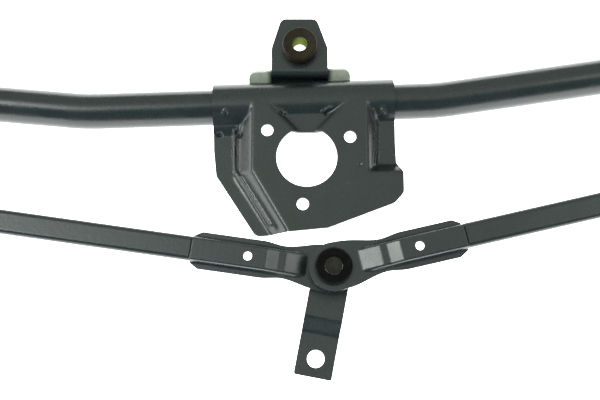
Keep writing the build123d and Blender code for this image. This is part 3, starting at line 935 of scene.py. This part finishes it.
@dataclass(frozen=True)
class SoftEdged:
    """A part of its CAD node's shape with its edges broken as stamping or casting leaves them.

    Attributes:
        node: The CAD node that it follows and stands for.
        body: The body that it moves with.
        slot: The finish's slot.
        edge: Width of the broken edges, in millimetres.
        angle: Only edges sharper than this many degrees are broken.
        finish: Another finish's name, where the slot's own isn't right all over.
        fold: Height, furthest Y and radius of a folded edge along X, in millimetres.
    """

    node: str
    body: str
    slot: str
    edge: float
    angle: float = 16.0
    finish: str = ""
    fold: Point | None = None

    def round_fold(
        self, piece: bpy.types.Object, height: float, furthest: float, radius: float
    ) -> None:
        """Rounds the edge along X at one height to a folded sheet's radius.

        Args:
            piece: The copied part.
            height: The edge's height, in millimetres.
            furthest: The Y that it stays below, in millimetres.
            radius: The fold's radius, in millimetres.
        """
        points = piece.data.vertices

        def on_fold(edge: bpy.types.MeshEdge) -> bool:
            """Says whether an edge lies on the fold."""
            ends = [points[index].co / MM for index in edge.vertices]
            level = all(abs(end.z - height) < 0.05 and end.y < furthest for end in ends)
            return level and abs(ends[0].y - ends[1].y) < 0.3

        pick(piece, Element.EDGE, on_fold)
        bpy.ops.mesh.bevel(offset=radius * MM, segments=10, affect="EDGES", clamp_overlap=False)
        close_edit()

    def build(self, finishes: "Finishes") -> None:
        """Builds the piece.

        Args:
            finishes: The finishes to dress it with.
        """
        piece = copy_node(self.node, self.node + "_soft")
        if self.fold:
            self.round_fold(piece, *self.fold)
        settings = {
            "width": self.edge * MM,
            "segments": 3,
            "limit_method": "ANGLE",
            "angle_limit": radians(self.angle),
        }
        modify(piece, "BEVEL", use_clamp_overlap=True, loop_slide=True, **settings)
        shade(piece, 50.0)
        modify(piece, "WEIGHTED_NORMAL", keep_sharp=True)
        finishes.dress(piece, self.finish or self.slot)
        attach(piece, self.body)
        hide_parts(self.node)
        report.info("%s: %d faces", piece.name, len(piece.data.polygons))


PRESSED = (
    sheet_over("crank_arm", "crank", -100.8, 30.0, pitch=0.45, thickness=3.8, rounding=8),
    *(
        sheet_over(
            f"{side}_rod_{end}_end",
            f"{side}_rod",
            turn,
            32.0,
            pitch=0.4,
            thickness=1.8,
            rounding=5,
        )
        for side, turn in (("left", 171.9), ("right", 12.9))
        for end in ("inner", "outer")
    ),
)

SOFT_EDGED = (
    # The ear's finish carries the pale painted reflection on its wings.
    SoftEdged("mounting_ear", "frame", "dark_coat", 0.6, finish="ear_coat", fold=(-4.0, 53.0, 4.6)),
    *(SoftEdged(f"{side}_lever", f"{side}_arm", "dark_coat", 0.7) for side in SIDES),
    *(SoftEdged(f"{side}_housing", "frame", "cast_aluminium", 0.5, 30.0) for side in SIDES),
)


# ---- turned and moulded pieces ----


@dataclass(frozen=True)
class Turned:
    """A ring-shaped piece turned up from a closed outline, in millimetres.

    Attributes:
        name: The piece's name.
        node: The CAD node that it stands for, or nothing where it is an extra.
        body: The body that it moves with.
        slot: The finish's slot.
        axis: Where its axis stands.
        outline: Radius and height of each ring, in order round the outline.
        steps: Points round each ring.
    """

    name: str
    node: str
    body: str
    slot: str
    axis: tuple[float, float]
    outline: tuple[tuple[float, float], ...]
    steps: int = 72

    def build(self, finishes: "Finishes") -> None:
        """Builds the piece.

        Args:
            finishes: The finishes to dress it with.
        """
        x, y = (value * MM for value in self.axis)
        radius, height = self.outline[0]
        place = (x, y, height * MM)
        bpy.ops.mesh.primitive_circle_add(
            vertices=self.steps, radius=radius * MM, fill_type="NOTHING", location=place
        )
        piece = settle(bpy.context.object, self.name)
        pick(piece, Element.VERTEX, lambda point: True)
        for next_radius, next_height in (*self.outline[1:], self.outline[0]):
            rise = (0, 0, (next_height - height) * MM)
            bpy.ops.mesh.extrude_edges_move(TRANSFORM_OT_translate={"value": rise})
            share = next_radius / radius
            bpy.ops.transform.resize(
                value=(share, share, 1.0), center_override=(x, y, next_height * MM)
            )
            radius, height = next_radius, next_height
        close_edit()
        face_outwards(piece)
        shade(piece, 40.0)
        finishes.dress(piece, self.slot)
        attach(piece, self.body)
        if self.node:
            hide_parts(self.node)
        report.info("%s: turned, %d faces", piece.name, len(piece.data.polygons))


@dataclass(frozen=True)
class Grease:
    """A squeezed-out ring of grease round the flat of a ball, in millimetres.

    Attributes:
        body: The body that it moves with.
        middle: Where its middle is.
        radius: From its middle to the bead.
        bead: The bead's own radius.
        bare: The bead stops this far past its middle, towards the tube.
        unevenness: How far its surface is scattered before it is smoothed.
    """

    body: str
    middle: Point
    radius: float = 4.75
    bead: float = 0.24
    bare: float = 1.2
    unevenness: float = 0.22

    def build(self, finishes: "Finishes") -> None:
        """Builds the bead.

        Args:
            finishes: The finishes to dress it with.
        """
        place = Vector(self.middle) * MM
        bpy.ops.mesh.primitive_torus_add(
            location=place,
            major_radius=self.radius * MM,
            minor_radius=self.bead * MM,
            major_segments=90,
            minor_segments=10,
        )
        piece = settle(bpy.context.object, self.body + "_grease")
        pick(piece, Element.VERTEX, lambda point: point.co.y > place.y + self.bare * MM)
        bpy.ops.mesh.delete(type="VERT")
        bpy.ops.mesh.select_all(action="SELECT")
        bpy.ops.transform.vertex_random(offset=self.unevenness * MM, uniform=0.3, seed=4)
        bpy.ops.mesh.vertices_smooth(factor=0.5, repeat=2)
        bpy.ops.mesh.select_all(action="DESELECT")
        bpy.ops.mesh.select_non_manifold(extend=False)
        bpy.ops.mesh.edge_face_add()
        close_edit()
        face_outwards(piece)
        shade(piece, 60.0)
        finishes.dress(piece, "grease")
        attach(piece, self.body)
        report.info("%s: %d faces", piece.name, len(piece.data.polygons))


EAR_AXIS = (-4.2, 69.8)
TURNED = (
    Turned(
        "ear_bush_moulding",
        "ear_bush",
        "frame",
        "brown_rubber",
        EAR_AXIS,
        (
            (5.55, -9.5),
            (9.6, -9.5),
            (10.3, -9.0),
            (10.45, -8.2),
            (10.45, -6.5),
            (8.05, -6.4),
            (8.05, -4.0),
            (10.3, -3.9),
            (10.45, -3.5),
            (10.45, 3.4),
            (10.2, 4.1),
            (9.6, 4.55),
            (9.0, 4.55),
            (8.5, 4.3),
            (5.2, 4.3),
            (4.75, 4.15),
            (4.6, 3.7),
            (4.7, 3.4),
            (5.55, 3.3),
        ),
    ),
    Turned(
        "ear_sleeve_tube",
        "ear_sleeve",
        "frame",
        "yellow_zinc",
        EAR_AXIS,
        ((4.3, -9.5), (4.6, -9.75), (5.2, -9.75), (5.5, -9.45), (5.5, 3.1), (4.5, 3.1), (4.3, 2.9)),
    ),
)


# ---- studio ----


@dataclass(frozen=True)
class Glow:
    """One soft patch of the surroundings, laid over the patches before it.

    Attributes:
        way: Direction of its middle.
        reach: Degrees from the middle to where it fades out.
        core: Degrees from the middle to where it is full.
        light: Its light.
    """

    way: Point
    reach: float
    core: float
    light: Colour


@dataclass
class Studio:
    """Pale floor, soft surroundings and the camera."""

    floor_z: float = CAD_BOX[0].z
    floor_size: float = 6.0
    camera_place: Point = (-0.004, -0.12331, 0.50243)
    camera_tilt: float = 11.0
    camera_lens: float = 52.32
    floor_glow: float = 2.6
    glows: tuple[Glow, ...] = (
        Glow((0, 0, 1), 181, 180, (0.9, 0.95, 0.9)),
        Glow((0, 0, -1), 94, 88, (3.2, 3.25, 3.2)),
        Glow((0, -1, 0.02), 70, 8, (4.4, 4.6, 4.5)),
        Glow((-1, 0, 0.05), 60, 10, (4.8, 5.0, 4.9)),
        Glow((0, 0, 1), 72, 62, (0.82, 0.90, 0.83)),
        Glow((0, -0.72, 0.70), 46, 31, (0.28, 0.38, 0.44)),
        Glow((0, 0.25, 1), 30, 5, (1.02, 1.13, 1.03)),
        Glow((-0.36, 0.04, 1), 17, 5, (2.9, 3.1, 3.0)),
        Glow((-0.50, 0.0, 0.87), 12, 5, (13.5, 14.6, 13.9)),
        Glow((0.52, 0.05, 0.86), 12, 6, (4.6, 4.8, 4.7)),
    )

    def build_floor(self) -> None:
        """Lays a plain floor under the linkage."""
        bpy.ops.mesh.primitive_plane_add(size=self.floor_size, location=(0, 0, self.floor_z))
        floor = settle(bpy.context.object, "studio_floor")
        sheet = NodeSheet("studio_floor")
        sheet.shader.inputs["Base Color"].default_value = (0.92, 0.92, 0.91, 1.0)
        sheet.shader.inputs["Roughness"].default_value = 0.9
        sheet.shader.inputs["Emission Color"].default_value = (1.0, 1.0, 1.0, 1.0)
        sheet.shader.inputs["Emission Strength"].default_value = self.floor_glow
        floor.data.materials.append(sheet.material)

    def build_surroundings(self) -> None:
        """Makes soft surroundings: bright low down and dimmer overhead."""
        world = bpy.data.worlds.new("studio")
        bpy.context.scene.world = world
        world.use_nodes = True
        tree = world.node_tree
        tree.nodes.clear()
        way = tree.nodes.new("ShaderNodeTexCoord").outputs["Generated"]
        total = None
        for glow in self.glows:
            near = tree.nodes.new("ShaderNodeVectorMath")
            near.operation = "DOT_PRODUCT"
            near.inputs[1].default_value = Vector(glow.way).normalized()
            tree.links.new(way, near.inputs[0])
            level = tree.nodes.new("ShaderNodeMapRange")
            level.interpolation_type = "SMOOTHSTEP"
            level.inputs["From Min"].default_value = cos(radians(glow.reach))
            level.inputs["From Max"].default_value = cos(radians(glow.core))
            tree.links.new(near.outputs["Value"], level.inputs["Value"])
            tint = tree.nodes.new("ShaderNodeMix")
            tint.data_type = "RGBA"
            tint.inputs[7].default_value = (*glow.light, 1.0)
            tree.links.new(level.outputs["Result"], tint.inputs["Factor"])
            if total:
                tree.links.new(total, tint.inputs[6])
            total = tint.outputs[2]
        light = tree.nodes.new("ShaderNodeBackground")
        tree.links.new(total, light.inputs["Color"])
        out = tree.nodes.new("ShaderNodeOutputWorld")
        tree.links.new(light.outputs["Background"], out.inputs["Surface"])

    def build_camera(self) -> None:
        """Sets the camera above the linkage, tipped a little towards the rods' side."""
        data = bpy.data.cameras.new("camera")
        data.lens = self.camera_lens
        data.sensor_width = 36.0
        data.clip_start = 0.01
        camera = bpy.data.objects.new("camera", data)
        camera.location = self.camera_place
        camera.rotation_euler = (radians(self.camera_tilt), 0.0, 0.0)
        bpy.context.scene.collection.objects.link(camera)
        bpy.context.scene.camera = camera

    def build(self) -> None:
        """Builds the whole studio."""
        self.build_floor()
        self.build_surroundings()
        self.build_camera()
        view = bpy.context.scene.view_settings
        view.view_transform = "Standard"
        view.look = "None"
        report.info("studio: floor, surroundings and camera")


def main() -> None:
    """Builds the studio and every piece in order."""
    finishes = Finishes()
    Studio().build()
    MOTOR_BRACKET.build(finishes)
    for piece in (*PRESSED, *SOFT_EDGED, *TURNED, Grease("crank", (14.0, -69.2, 40.85))):
        piece.build(finishes)
    for node in sorted(NODES):
        finishes.dress_node(node)


if __name__ == "__main__":
    main()
